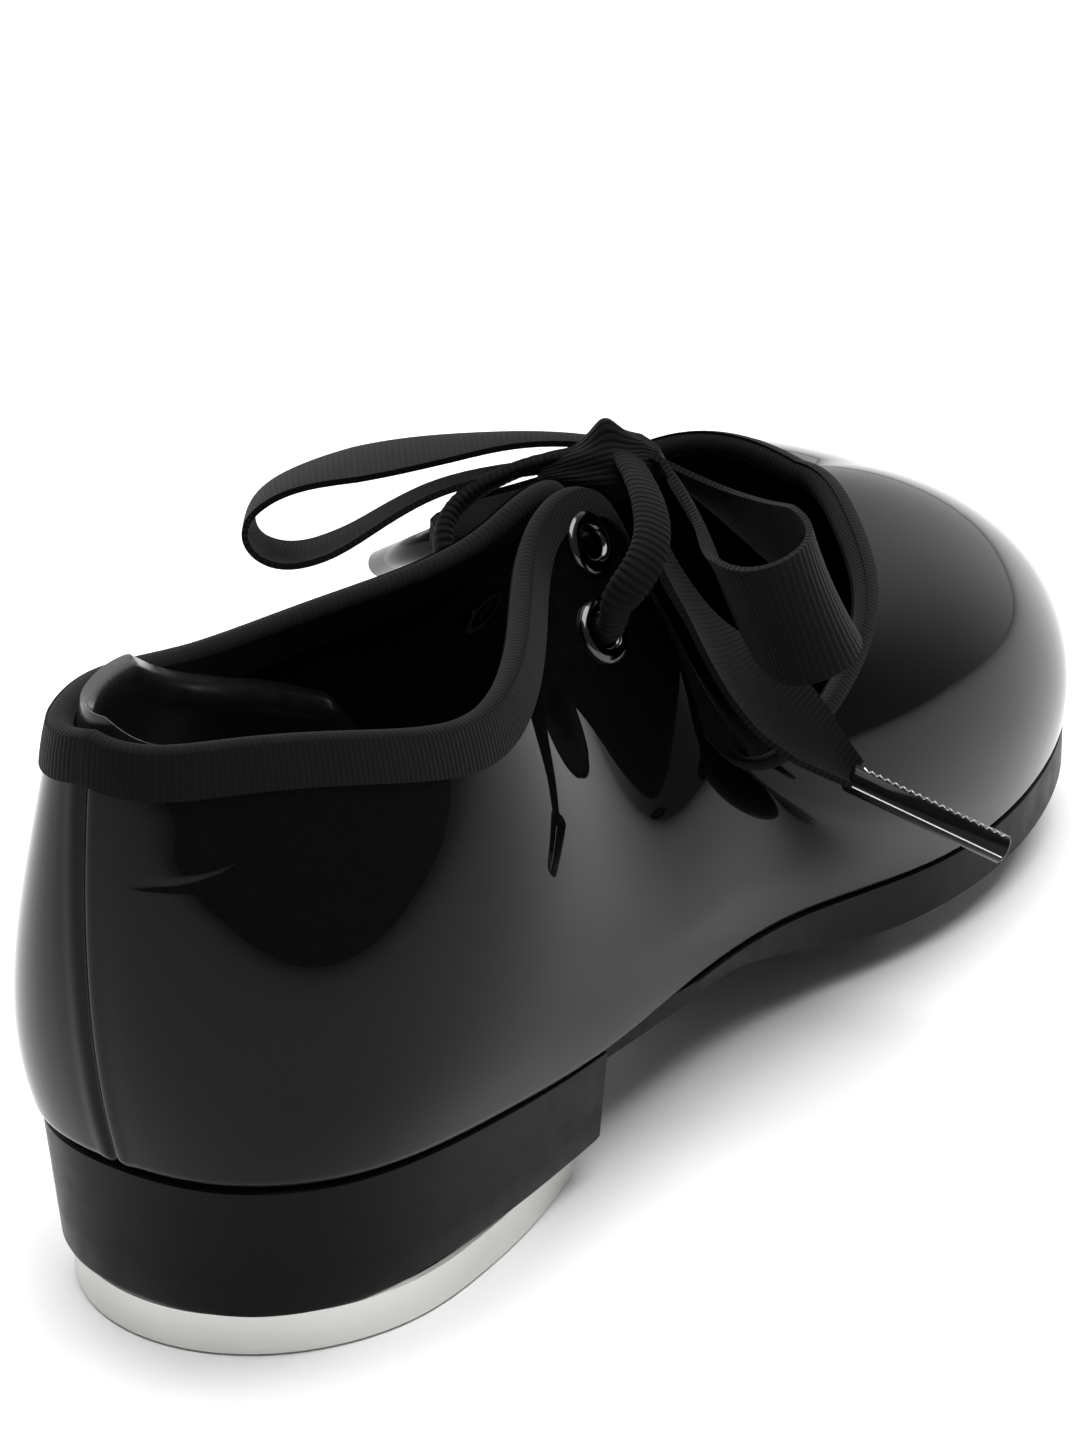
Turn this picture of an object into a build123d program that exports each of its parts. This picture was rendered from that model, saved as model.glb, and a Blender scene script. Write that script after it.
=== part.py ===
from build123d import *
import math
import os

import numpy as np

# Child's tie tap shoe for the right foot, 205 mm long. Millimetres. +X is the outer side,
# +Y points to the toe, +Z is up. The origin is on the floor, under the middle of the heel.

# ---- driving dimensions ----
TAP_THICK = 5.6            # heel tap and toe tap
HEEL_HALF = 24.5           # half width of the heel block at its foot
HEEL_BACK = -27.1
HEEL_FRONT = 31.9
HEEL_FRONT_HALF = 22.8
HEEL_TOP_HALF = 25.7       # the same four sizes just under the sole
HEEL_TOP_BACK = -28.8
HEEL_TOP_FRONT = 33.0
HEEL_TOP_FRONT_HALF = 24.4
SOLE_LEDGE = 0.1           # how far the sole's edge stands out from the upper
SOLE_TO_UPPER = 0.15       # gap under the upper's lower edge
TREAD_START = 111.0        # the tread is flat up to here, then rises to the toe
TOE_END = 176.7
TOE_SPRING = 5.9
HINGE_Y = 100.0            # the sole bends here, just behind the toe tap
HINGE_GAP = 0.3
TOE_TAP_BACK = 107.0
TOE_TAP_FRONT = 168.0
TOE_TAP_INSET = 9.0
TOE_BOARD = 0.75           # fibre sounding board between the sole and the toe tap
BEND_START = 20.0          # the shoe's centre line bends inward from here to the toe
BEND_LENGTH = 157.0
BEND = -11.0

# Layers of the upper, as depths inward from the patent surface
UPPER = (0.0, 1.0)
STIFFENER = (1.3, 1.55)
LINING = (1.75, 2.2)
GRIP = (2.4, 3.2)
BINDING_GAP = 0.3                    # between the binding and the layers it folds over
BINDING_THICK = 0.4
BINDING_WIDTH = 6.0
BINDING_AT_TAB = 3.0      # narrower over the top of each tab
EDGING_WIDTH = 2.3        # the flat edging round the throat
BINDING_END = 0.53        # turn where the folded binding ends, at each tab's front corner
EDGING_START = 0.65       # turn where the throat's edging starts, at the foot of the tab

EYELET_HOLE = 2.4          # radius in the upper
EYELET_HOLE_LINING = 2.55
EYELET_BORE = 1.9
EYELET_FLANGE = 3.7
RIBBON = 16.5              # width
RIBBON_THICK = 0.8
AGLET = 1.85               # radius
AGLET_LENGTH = 22.0
AGLET_GAP = 1.6            # from the ribbon's gathered end

# ---- the upper's shape: 18 stations from the heel's back round one side to the toe ----
# Each point is (distance from the centre line, y, z), a control point of a cubic spline.
FEATHER = np.array([
    (0, -28.6, 23.4), (9.5, -28.6, 23.4), (19.8, -22.5, 23), (25.3, -9, 22), (25.8, 8, 20.6),
    (25, 22, 18.8), (24, 35, 17.9), (22.8, 46, 17.6), (21.9, 57, 17.3), (21.4, 68, 16.6),
    (21.6, 80, 15.5), (24.3, 93, 14), (29, 109, 13.1), (30.8, 126, 13.5), (29.5, 145, 14.8),
    (24, 163, 17), (12, 178, 19.2), (0, 178, 19.3)], float)
# how the wall leaves the sole
RISE = np.array([
    (0, -4.5, 15), (2, -4.5, 15), (4, -3, 15), (5.2, -1.5, 16), (5, 0, 16), (5, 0, 16),
    (5.5, 0, 16), (6.5, 0, 17), (7.5, 0, 18), (7.5, -1, 17), (7, -2, 13), (6, -4, 12),
    (5.5, -4, 13), (5, -3, 15), (4.5, -2, 17), (4, 0, 17), (2.5, 3, 17), (0, 3, 17)], float)
# how it arrives at the top edge
ROLL = np.array([
    (0, -3.5, -17), (1.5, -3.5, -17), (3.5, -3, -17), (4.5, -1, -17), (5, 0, -17), (7, 0, -16),
    (8.5, 0, -16), (8, 1, -17), (8, 1, -18), (8, 1, -17), (8, 3, -14), (4, 5, -9), (5, 6, -10),
    (6, 10, -10), (9, 18, -9), (10, 27, -9), (4, 33, -7.5), (0, 33, -7.5)], float)
COLLAR_AND_TAB = [
    (0, -28, 76), (7, -29, 75.5), (14, -19, 75), (19, -4, 71), (21.5, 12, 66.5),
    (16, 26.5, 68.5), (8, 38.5, 71), (3.4, 46, 74), (2, 52.5, 78), (2.2, 65, 77)]
# the keyhole throat is a little lower on the outer (right) side
TOP_RIGHT = np.array(COLLAR_AND_TAB + [
    (9.5, 64.5, 55), (24, 60.5, 41), (26.5, 76, 45), (24.5, 91, 50.5), (19.5, 101.5, 54.5),
    (11, 110, 59), (4, 116.5, 61.5), (0, 116.5, 61.5)], float)
TOP_LEFT = np.array(COLLAR_AND_TAB + [
    (9.5, 64.5, 55), (22.5, 64, 41), (27, 80, 48), (27, 95, 56), (24, 107.5, 61.5),
    (15, 116, 64.5), (6, 117.5, 63), (0, 116.5, 61.5)], float)

# eyelets: (turn, height) on the wall
EYELETS = [(0.480, 0.885), (0.445, 0.745)]


def centre_x(y):
    """The shoe's curved centre line."""
    return BEND * (np.clip(np.asarray(y, float) - BEND_START, 0, None) / BEND_LENGTH) ** 2


def spline_weights(count, at):
    """Weights of `count` control points of a clamped, evenly knotted cubic spline."""
    knots = np.concatenate([np.zeros(3), np.linspace(0, 1, count - 2), np.ones(3)])
    at = np.clip(np.asarray(at, float), 0, 1 - 1e-9)
    weights = [((knots[i] <= at) & (at < knots[i + 1])).astype(float) for i in range(count + 3)]
    for degree in (1, 2, 3):
        raised = []
        for i in range(count + 3 - degree):
            total = np.zeros_like(at)
            if knots[i + degree] > knots[i]:
                total = total + (at - knots[i]) / (knots[i + degree] - knots[i]) * weights[i]
            if knots[i + degree + 1] > knots[i + 1]:
                span = knots[i + degree + 1] - knots[i + 1]
                total = total + (knots[i + degree + 1] - at) / span * weights[i + 1]
            raised.append(total)
        weights = raised
    return np.array(weights)


def wall(turn, height):
    """A point of the upper's outer surface. turn 0 is the heel's back, 1 the toe, going
    round the right side, and 2 or -0 the heel again, round the left. height 0 is the
    sole and 1 the top edge."""
    turn, height = np.broadcast_arrays(np.asarray(turn, float), np.asarray(height, float))
    around = np.mod(turn, 2)
    right = around < 1
    station = np.where(right, around, 2 - around)
    weights = spline_weights(len(FEATHER), station)
    bands = [(1 - height) ** 3, 3 * height * (1 - height) ** 2,
             3 * height ** 2 * (1 - height), height ** 3]
    point = np.zeros(turn.shape + (3,))
    for top, here in ((TOP_RIGHT, right), (TOP_LEFT, ~right)):
        rows = [FEATHER, FEATHER + RISE, top + ROLL, top]
        side = sum(np.einsum("k...,kc->...c", weights, row) * band[..., None]
                   for row, band in zip(rows, bands))
        point = np.where(here[..., None], side, point)
    sign = np.where(right, 1, -1)
    point[..., 0] = centre_x(point[..., 1]) + sign * point[..., 0]
    return point


def outward(turn, height):
    """The wall's unit normal, pointing out of the shoe."""
    step = 1e-4
    along = wall(turn + step, height) - wall(turn - step, height)
    up = wall(turn, height + step) - wall(turn, height - step)
    normal = np.cross(along, up)
    return normal / np.linalg.norm(normal, axis=-1, keepdims=True)


def layer_grid(turns, low, high, depth, rows=13):
    """Points at one depth in the wall, between two heights that may vary with turn."""
    turn = np.repeat(turns[:, None], rows, axis=1)
    share = np.linspace(0, 1, rows)[None, :]
    height = low(turn) + (high(turn) - low(turn)) * share
    return wall(turn, height) - depth * outward(turn, height)


def level(value):
    """A height that is the same all round."""
    return lambda turn: np.full_like(turn, value)


class Sheet:
    """A smooth face through a grid of points, with its four named borders."""

    def __init__(self, grid):
        self.face = Face.make_surface_from_array_of_points(
            [[tuple(map(float, point)) for point in row] for row in grid], tol=0.02)
        borders = {"start": grid[0], "end": grid[-1], "low": grid[:, 0], "high": grid[:, -1]}
        for name, points in borders.items():
            middle = Vector(*map(float, points[len(points) // 2]))
            nearest = min(self.face.edges(), key=lambda edge: edge.distance_to(middle))
            setattr(self, name, nearest)


def join(first, second):
    return Face.make_surface_from_curves(first, second)


def skin(outer, inner):
    """A closed solid between two grids of points."""
    outer, inner = Sheet(outer), Sheet(inner)
    faces = [outer.face, inner.face]
    for border in ("start", "end", "low", "high"):
        faces.append(join(getattr(outer, border), getattr(inner, border)))
    return Solid(Shell(faces))


def layer(start, end, low, high, depths, columns=60):
    """One layer of the wall from turn `start` to turn `end`."""
    turns = np.linspace(start, end, columns)
    outer, inner = depths
    return skin(layer_grid(turns, low, high, outer), layer_grid(turns, low, high, inner))


def save(shape, name):
    export_step(shape, f"parts/{name}.step")


# ---- the sole unit ----
STATIONS = [-36, -20, -9, 8, 22, 35, 46, 57, 68, 80, 93, 109, 126, 145, 163, 178, 190]


def feather_z(y):
    """Height of the line where the upper meets the sole."""
    knots_y = [-36, -28.6, -9, 8, 22, 35, 46, 57, 68, 80, 93, 109, 126, 145, 163, 178, 190]
    knots_z = [23.7, 23.3, 22.1, 20.5, 18.9, 18, 17.6, 17.2, 16.6, 15.4, 14.1, 13.3, 13.5,
               14.9, 16.9, 19.1, 21]
    return float(np.interp(y, knots_y, knots_z))


def tread_z(y):
    """Height of the flat ground line under the forefoot, with the toe spring."""
    return TOE_SPRING * (max(y - TREAD_START, 0) / (TOE_END - TREAD_START)) ** 2


def sole_top(y):
    return feather_z(y) - SOLE_TO_UPPER


def sole_bottom(y):
    """Thin at the waist, thick under the forefoot."""
    thin = sole_top(y) - float(np.interp(y, [-36, 22, 57, 71, 190], [4, 3.4, 2.2, 2.8, 2.8]))
    thick = TAP_THICK + TOE_BOARD + tread_z(y)
    blend = min(max((y - 62) / (104 - 62), 0), 1)
    blend = blend * blend * (3 - 2 * blend)
    return thin * (1 - blend) + thick * blend


def slab(top, bottom, back, front, half=60):
    """Everything between two heights that vary along the shoe, from y=back to y=front."""
    upper_line = Spline(*[(0, y, top(y)) for y in STATIONS])
    lower_line = Spline(*[(0, y, bottom(y)) for y in STATIONS])
    side = Face(Wire([upper_line.edge(), lower_line.edge(),
                      Line(upper_line @ 0, lower_line @ 0).edge(),
                      Line(upper_line @ 1, lower_line @ 1).edge()]))
    whole = extrude(side, amount=half, dir=(1, 0, 0), both=True)
    stretch = Pos(0, (back + front) / 2, 0) * Box(3 * half, front - back, 200)
    return whole & stretch


def footprint(inset, low=-5, high=40):
    """A prism whose outline follows the upper's lower edge, moved in by `inset`."""
    right = np.linspace(0, 1, 15)[1:-1]
    turns = np.concatenate([[0.0], right, [1.0], 2 - right[::-1]])
    heights = np.zeros_like(turns)
    edge = wall(turns, heights)
    normal = outward(turns, heights)
    normal[:, 2] = 0
    normal /= np.linalg.norm(normal, axis=1, keepdims=True)
    points = [(x, y, low) for x, y in (edge - inset * normal)[:, :2]]
    outline = Face(Wire([Spline(*points, periodic=True).edge()]))
    return extrude(outline, amount=high - low, dir=(0, 0, 1))


def heel_outline(half, back, front, front_half, z):
    """Round at the back, straight across the front."""
    points = []
    for step in range(5):
        t = 1 - step / 5
        points.append((half + (front_half - half) * t * t, front * t, z))
    for step in range(13):
        angle = math.pi * step / 12
        points.append((half * math.cos(angle), back * math.sin(angle), z))
    points += [(-x, y, z) for x, y, z in points[4::-1]]
    curve = Spline(*points)
    return Face(Wire([curve.edge(), Line(curve @ 1, curve @ 0).edge()]))


def upright_cylinder(x, y, low, high, radius):
    return Pos(x, y, low) * Cylinder(radius, high - low, align=(Align.CENTER, Align.CENTER, Align.MIN))


def countersunk_screw(x, y, under, length, head=3.1, shank=1.4, recess=0.0):
    """A screw driven upward, its head flush with a face at z = under."""
    cone = Cone(head + recess, shank + recess, 1.8, align=(Align.CENTER, Align.CENTER, Align.MIN))
    body = upright_cylinder(x, y, under + 1.8, under + length + recess, shank + recess)
    return Pos(x, y, under) * cone + body


def with_cross_slot(screw, x, y, under):
    slot = Box(3.6, 0.7, 0.8) + Box(0.7, 3.6, 0.8)
    return screw - Pos(x, y, under) * slot


HEEL_SCREWS = [(0.0, -18.0), (-14.0, 14.0), (14.0, 14.0)]
HEEL_NAILS = [(-10.0, -10.0), (10.0, -10.0), (-10.0, 20.0), (10.0, 20.0)]
TOE_SCREWS = [(-13.5, 124.0), (6.5, 124.0), (-7.0, 150.0)]
SCREW_LENGTH = 12.0
TOE_SCREW_LENGTH = 10.0
NAIL_RADIUS = 0.9
NAIL_LENGTH = 11.0
FIT = 0.05


def heel_tap():
    plate = extrude(heel_outline(24.0, -26.4, 30.3, 19.4, 0), amount=TAP_THICK, dir=(0, 0, 1))
    rim = plate.edges().filter_by(GeomType.BSPLINE)
    plate = chamfer(rim, 0.35)
    for x, y in HEEL_SCREWS:
        plate -= countersunk_screw(x, y, 0, SCREW_LENGTH, recess=FIT)
    return plate


def heel_block():
    low = heel_outline(HEEL_HALF, HEEL_BACK, HEEL_FRONT, HEEL_FRONT_HALF, TAP_THICK)
    high = heel_outline(HEEL_TOP_HALF, HEEL_TOP_BACK, HEEL_TOP_FRONT, HEEL_TOP_FRONT_HALF, 24)
    block = loft([low, high])
    block -= slab(lambda y: 40, lambda y: sole_bottom(y) - FIT, -34, 40)
    for x, y in HEEL_SCREWS:
        block -= countersunk_screw(x, y, 0, SCREW_LENGTH, recess=FIT)
    for x, y in HEEL_NAILS:
        block -= nail(x, y, FIT)
    return block


def nail(x, y, clearance=0.0):
    """A heel nail, driven down through the heel seat, with its head on the sole."""
    top = sole_top(y) - 0.2
    shank = upright_cylinder(x, y, top - NAIL_LENGTH - clearance, top, NAIL_RADIUS + clearance)
    head = upright_cylinder(x, y, top - 0.8 - clearance, top + 4 * clearance, 2.2 + clearance)
    return shank + head


SHANK_BACK, SHANK_FRONT, SHANK_HALF = 24.0, 86.0, 5.0


def shank(clearance=0.0):
    """The spring-steel strip let into the waist of the sole."""
    strip = slab(lambda y: sole_top(y) - 0.1 + 4 * clearance,
                 lambda y: sole_top(y) - 1.1 - clearance,
                 SHANK_BACK - clearance, SHANK_FRONT + clearance, SHANK_HALF + clearance)
    return Pos(float(centre_x(60)), 0, 0) * strip


def sole_piece(back, front):
    return slab(sole_top, sole_bottom, back, front) & footprint(-SOLE_LEDGE)


def outsole():
    sole = sole_piece(-33, HINGE_Y) - shank(FIT)
    for x, y in HEEL_NAILS:
        sole -= nail(x, y, FIT)
    return sole


def forefoot_sole():
    sole = sole_piece(HINGE_Y + HINGE_GAP, 184)
    for x, y in TOE_SCREWS:
        sole -= countersunk_screw(x, y, tread_z(y), TOE_SCREW_LENGTH, recess=FIT)
    return sole


def toe_plate(top, bottom, inset):
    plate = slab(top, bottom, TOE_TAP_BACK, TOE_TAP_FRONT) & footprint(inset)
    for x, y in TOE_SCREWS:
        plate -= countersunk_screw(x, y, tread_z(y), TOE_SCREW_LENGTH, recess=FIT)
    return plate


def toe_tap():
    return toe_plate(lambda y: tread_z(y) + TAP_THICK, tread_z, TOE_TAP_INSET)


def toe_tap_board():
    return toe_plate(lambda y: tread_z(y) + TAP_THICK + TOE_BOARD - FIT,
                     lambda y: tread_z(y) + TAP_THICK + FIT, TOE_TAP_INSET - 0.5)


def screws(places, under, length):
    made = [with_cross_slot(countersunk_screw(x, y, under(y), length), x, y, under(y))
            for x, y in places]
    return Compound(children=[item.solid() for item in made])


def insole_layer(low, high, inset):
    """A layer inside the shoe, from `low` to `high` above the sole."""
    return slab(lambda y: sole_top(y) + high, lambda y: sole_top(y) + low, -33, 184) & footprint(inset)


# ---- the upper ----
SEAM = 0.0002              # the seam at the back of the heel, as a turn
TOP = level(1.0)
SOLE_LINE = level(0.0)


def rim_length(turn):
    """Height of the wall from sole to rim, measured along its surface."""
    heights = np.linspace(0, 1, 25)
    points = wall(np.full_like(heights, turn), heights)
    return float(np.linalg.norm(np.diff(points, axis=0), axis=1).sum())


def below_rim(distance):
    """The height that lies `distance` below the rim."""
    stations = np.linspace(0, 1, 41)
    lengths = {side: [rim_length(side * s) for s in stations] for side in (1, -1)}

    def height(turn):
        around = np.mod(turn, 2)
        station = np.where(around < 1, around, 2 - around)
        length = np.where(around < 1, np.interp(station, stations, lengths[1]),
                          np.interp(station, stations, lengths[-1]))
        return 1 - distance(station) / length
    return height


def binding_width(station):
    return np.interp(station, [0.34, 0.43, 0.54, 0.60],
                     [BINDING_WIDTH, BINDING_AT_TAB, BINDING_AT_TAB, EDGING_WIDTH])


def wall_frame(turn, height, depth=0.0):
    """A plane on the wall whose z points outward."""
    point = wall(turn, height)
    normal = outward(np.float64(turn), np.float64(height))
    return Plane(origin=tuple(map(float, point - depth * normal)), z_dir=tuple(map(float, normal)))


def eyelet_frames(side, depth):
    return [wall_frame(side * turn, height, depth) for turn, height in EYELETS]


def pierced(body, radius):
    """The body with a hole at each of the four eyelets."""
    for side in (1, -1):
        for frame in eyelet_frames(side, 0):
            body -= frame * Cylinder(radius, 9)
    return body


def upper():
    return pierced(layer(SEAM, 2 - SEAM, SOLE_LINE, TOP, UPPER, 97), EYELET_HOLE)


def lining():
    return pierced(layer(SEAM, 2 - SEAM, level(0.03), level(0.995), LINING, 81), EYELET_HOLE_LINING)


def heel_counter():
    return layer(-0.30, 0.30, level(0.02), level(0.62), STIFFENER, 45)


def toe_puff():
    return layer(0.84, 1.16, level(0.02), level(0.75), STIFFENER, 35)


def heel_grip():
    """Glossy padded lining of the heel, its front edges sloping down and forward."""
    def top(turn):
        around = np.abs(turn)
        return np.interp(around, [0.0, 0.16, 0.22, 0.36, 0.46], [0.87, 0.86, 0.82, 0.5, 0.2])
    return layer(-0.40, 0.40, level(0.08), top, GRIP, 61)


def folded_binding():
    """A strip folded over the collar and the tops of both tabs, as an upside-down channel."""
    turns = np.linspace(-BINDING_END, BINDING_END, 121)
    lower = below_rim(binding_width)
    crown = below_rim(lambda station: -BINDING_THICK - BINDING_GAP)
    under = below_rim(lambda station: -BINDING_GAP)
    depths = {"outside": -BINDING_THICK - BINDING_GAP, "facing": -BINDING_GAP,
              "lined": LINING[1] + BINDING_GAP, "inside": LINING[1] + BINDING_THICK + BINDING_GAP}
    sheets = {name: Sheet(layer_grid(turns, lower, crown if "side" in name else under, depth, 7))
              for name, depth in depths.items()}
    outside, facing, lined, inside = sheets.values()
    top = join(outside.high, inside.high)
    ceiling = join(facing.high, lined.high)
    faces = [sheet.face for sheet in sheets.values()]
    faces += [top, ceiling, join(outside.low, facing.low), join(lined.low, inside.low)]
    for border in ("start", "end"):
        corners = [getattr(sheet, border) for sheet in (outside, facing, lined, inside)]
        faces += [join(corners[0], corners[1]), join(corners[2], corners[3])]
        seam_point = wall(turns[0] if border == "start" else turns[-1], 1.0)
        ends = [min(face.edges(), key=lambda edge: edge.distance_to(Vector(*map(float, seam_point)))
                    + edge.length * 0.01) for face in (top, ceiling)]
        faces.append(join(*ends))
    return Solid(Shell(faces))


def throat_edging():
    """A flat strip stitched on the outside along the throat's edge."""
    crown = below_rim(lambda station: -BINDING_THICK - BINDING_GAP)
    return layer(EDGING_START, 2 - EDGING_START, below_rim(binding_width), crown,
                 (-BINDING_THICK - BINDING_GAP, -BINDING_GAP), 91)


def topline_binding():
    return Compound(children=[folded_binding(), throat_edging()])


def eyelets(side):
    """Two rolled metal eyelets with a barrel through the layers of the tab."""
    made = []
    for frame in eyelet_frames(side, 0):
        barrel = Pos(0, 0, -1.3) * Cylinder(EYELET_HOLE - FIT, 3.6)
        flange = Pos(0, 0, 0.75) * Cylinder(EYELET_FLANGE, 0.6)
        body = barrel + flange - Cylinder(EYELET_BORE, 12)
        made.append(frame * body)
    return Compound(children=[item.solid() for item in made])


def eyelet_washers(side):
    made = []
    for frame in eyelet_frames(side, 0):
        ring = Pos(0, 0, -2.75) * (Cylinder(EYELET_FLANGE - 0.4, 0.4) - Cylinder(EYELET_HOLE, 2))
        made.append(frame * ring)
    return Compound(children=[item.solid() for item in made])


# ---- the ribbon ----
def ribbon(route, across, width=RIBBON, thickness=RIBBON_THICK, columns=25):
    """A flat ribbon along a route. `across` gives its width direction at each point."""
    route, across = np.array(route, float), np.array(across, float)
    weights = spline_weights(len(route), np.linspace(0, 1, columns))
    line = weights.T @ route
    wide = weights.T @ across
    wide /= np.linalg.norm(wide, axis=1, keepdims=True)
    ahead = np.gradient(line, axis=0)
    face = np.cross(ahead, wide)
    face /= np.linalg.norm(face, axis=1, keepdims=True)
    widths = np.interp(np.linspace(0, 1, columns), np.linspace(0, 1, len(np.atleast_1d(width))),
                       np.atleast_1d(width))
    shares = np.linspace(-0.5, 0.5, 5)
    sheet = line[:, None, :] + shares[None, :, None] * widths[:, None, None] * wide[:, None, :]
    lift = 0.5 * thickness * face[:, None, :]
    return skin(sheet + lift, sheet - lift)


# Routes of the ribbon from the knot outward, with the direction of its width at each point.
KNOT = (-1.0, 67.5, 77.0)
KNOT_SIZE = (6.0, 4.5, 3.6)
KNOT_TURN = 37                        # degrees, the knot's long way from +X towards +Y
LEFT_LOOP = [(-8, 66.5, 80.5), (-12, 65, 80.5), (-18, 59.5, 78.5), (-26, 53, 77), (-33, 47, 75.5),
             (-37.5, 42.5, 72.5), (-37, 40.5, 67.5), (-32, 42.5, 64.5), (-26, 48, 67), (-21.5, 53.5, 71.5),
             (-15.5, 59.5, 74.5), (-10, 63.5, 75.5)]
LEFT_LOOP_ACROSS = [(-9.8, 13, -3.5)] * 12
RIGHT_LOOP = [(7, 75.5, 75), (12, 77, 72), (21, 72.5, 69.5), (31, 66, 70.5), (37, 61, 70), (37, 55.5, 68.5),
              (33, 53, 67), (27, 55.5, 66.5), (21, 61, 67.5), (15.5, 66, 70), (10.5, 69, 73)]
RIGHT_LOOP_ACROSS = [(4, 5, -15)] * 11
LOOP_WIDTHS = [5.0, 11.0, RIBBON, RIBBON, RIBBON, RIBBON, RIBBON, 11.0, 5.0]
RIGHT_TAIL = [(7, 68, 70.5), (9, 67, 68), (12, 65.5, 64), (17, 64.5, 59), (22, 64.5, 54.5), (27, 65.5, 49.8),
              (31.5, 67, 46), (34.6, 68.8, 42.6)]
RIGHT_TAIL_ACROSS = [(-5, 15, -1)] * 8
LEFT_TAIL = [(-9, 69.5, 72), (-13, 70, 70), (-18, 70, 67), (-22, 70, 64.5), (-25.5, 70, 62.5),
             (-28.5, 69.5, 60.5)]
LEFT_TAIL_ACROSS = [(-6, 9, -9)] * 6
TAIL_WIDTHS = [5.0, 10.0, RIBBON, RIBBON, RIBBON, 11.0, 3.4]
STRAND_WIDTH = 6.0
AGLET_AIM = {"right": (50.5, 80.5, 32.0), "left": (-47.0, 79.0, 50.0)}


def knot():
    """The tied knot, a rounded lump."""
    return Pos(*KNOT) * Rot(Z=KNOT_TURN) * scale(Sphere(1.0), by=KNOT_SIZE)


def strand(side):
    """The ribbon between the lower eyelet and the knot, gathered narrow."""
    low = eyelet_frames(side, -3.0)[1].origin
    route = [tuple(low), (side * 16, 54, 70.5), (side * 14, 58.5, 72.5), (side * 9.5, 62.5, 74)]
    across = [(side * 3, 9, -4)] * 2 + [(side * 5, 7, -6)] * 2
    return ribbon(route, across, STRAND_WIDTH, 1.2, 15)


def aglet(end, aim):
    """The stiff sleeve crimped on the ribbon's end."""
    start, way = Vector(*end), (Vector(*aim) - Vector(*end)).normalized()
    sleeve = Cylinder(AGLET, AGLET_LENGTH, align=(Align.CENTER, Align.CENTER, Align.MIN))
    return Plane(origin=start + way * AGLET_GAP, z_dir=way) * sleeve


def write_all():
    os.makedirs("parts", exist_ok=True)
    save(heel_tap(), "heel_tap")
    save(heel_block(), "heel_block")
    save(screws(HEEL_SCREWS, lambda y: 0.0, SCREW_LENGTH), "heel_tap_screws")
    save(Compound(children=[nail(x, y).solid() for x, y in HEEL_NAILS]), "heel_nails")
    save(shank(), "shank")
    save(outsole(), "outsole")
    save(forefoot_sole(), "forefoot_sole")
    save(toe_tap(), "toe_tap")
    save(toe_tap_board(), "toe_tap_board")
    save(screws(TOE_SCREWS, tread_z, TOE_SCREW_LENGTH), "toe_tap_screws")
    save(insole_layer(FIT, 1.2, 2.7), "insole_board")
    save(insole_layer(1.25, 2.2, 3.4), "sock_liner")
    save(upper(), "upper")
    save(lining(), "lining")
    save(heel_counter(), "heel_counter")
    save(toe_puff(), "toe_puff")
    save(heel_grip(), "heel_grip")
    save(topline_binding(), "topline_binding")
    for side, name in ((1, "right"), (-1, "left")):
        save(eyelets(side), f"eyelets_{name}")
        save(eyelet_washers(side), f"eyelet_washers_{name}")
        save(strand(side), f"ribbon_strand_{name}")
    save(knot(), "ribbon_knot")
    save(ribbon(LEFT_LOOP, LEFT_LOOP_ACROSS, LOOP_WIDTHS), "bow_loop_left")
    save(ribbon(RIGHT_LOOP, RIGHT_LOOP_ACROSS, LOOP_WIDTHS), "bow_loop_right")
    save(ribbon(LEFT_TAIL, LEFT_TAIL_ACROSS, TAIL_WIDTHS), "ribbon_tail_left")
    save(ribbon(RIGHT_TAIL, RIGHT_TAIL_ACROSS, TAIL_WIDTHS), "ribbon_tail_right")
    save(aglet(LEFT_TAIL[-1], AGLET_AIM["left"]), "aglet_left")
    save(aglet(RIGHT_TAIL[-1], AGLET_AIM["right"]), "aglet_right")


write_all()
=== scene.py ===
import math

import bpy
import numpy as np
from mathutils import Matrix, Vector


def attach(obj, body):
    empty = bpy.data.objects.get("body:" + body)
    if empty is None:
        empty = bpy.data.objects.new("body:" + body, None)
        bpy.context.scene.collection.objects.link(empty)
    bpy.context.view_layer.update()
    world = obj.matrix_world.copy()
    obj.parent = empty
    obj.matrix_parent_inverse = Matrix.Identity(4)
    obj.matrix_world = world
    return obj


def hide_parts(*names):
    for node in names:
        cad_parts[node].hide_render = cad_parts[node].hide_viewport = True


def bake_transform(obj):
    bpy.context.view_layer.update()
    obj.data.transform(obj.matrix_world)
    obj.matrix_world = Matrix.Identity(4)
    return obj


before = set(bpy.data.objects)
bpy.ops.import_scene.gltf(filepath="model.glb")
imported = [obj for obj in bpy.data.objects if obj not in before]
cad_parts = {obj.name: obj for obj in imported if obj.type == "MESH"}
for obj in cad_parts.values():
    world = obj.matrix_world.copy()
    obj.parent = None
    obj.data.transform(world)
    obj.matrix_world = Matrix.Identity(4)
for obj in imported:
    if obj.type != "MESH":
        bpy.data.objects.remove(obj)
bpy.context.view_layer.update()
scene = bpy.context.scene

# Lengths below are millimetres, as in the CAD model; meshes are written in metres.
MM = 0.001

# ---- camera: the photograph's viewing angle ----
TURN = math.radians(36.2)      # from +Y towards -X, seen from above
PITCH = math.radians(23.0)
ROLL = math.radians(-1.0)
AIM = Vector((-11.9, 68.1, 39.5)) * MM
DISTANCE = 487.3 * MM
LENS = 94.46                   # mm, on a 36 mm sensor

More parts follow.
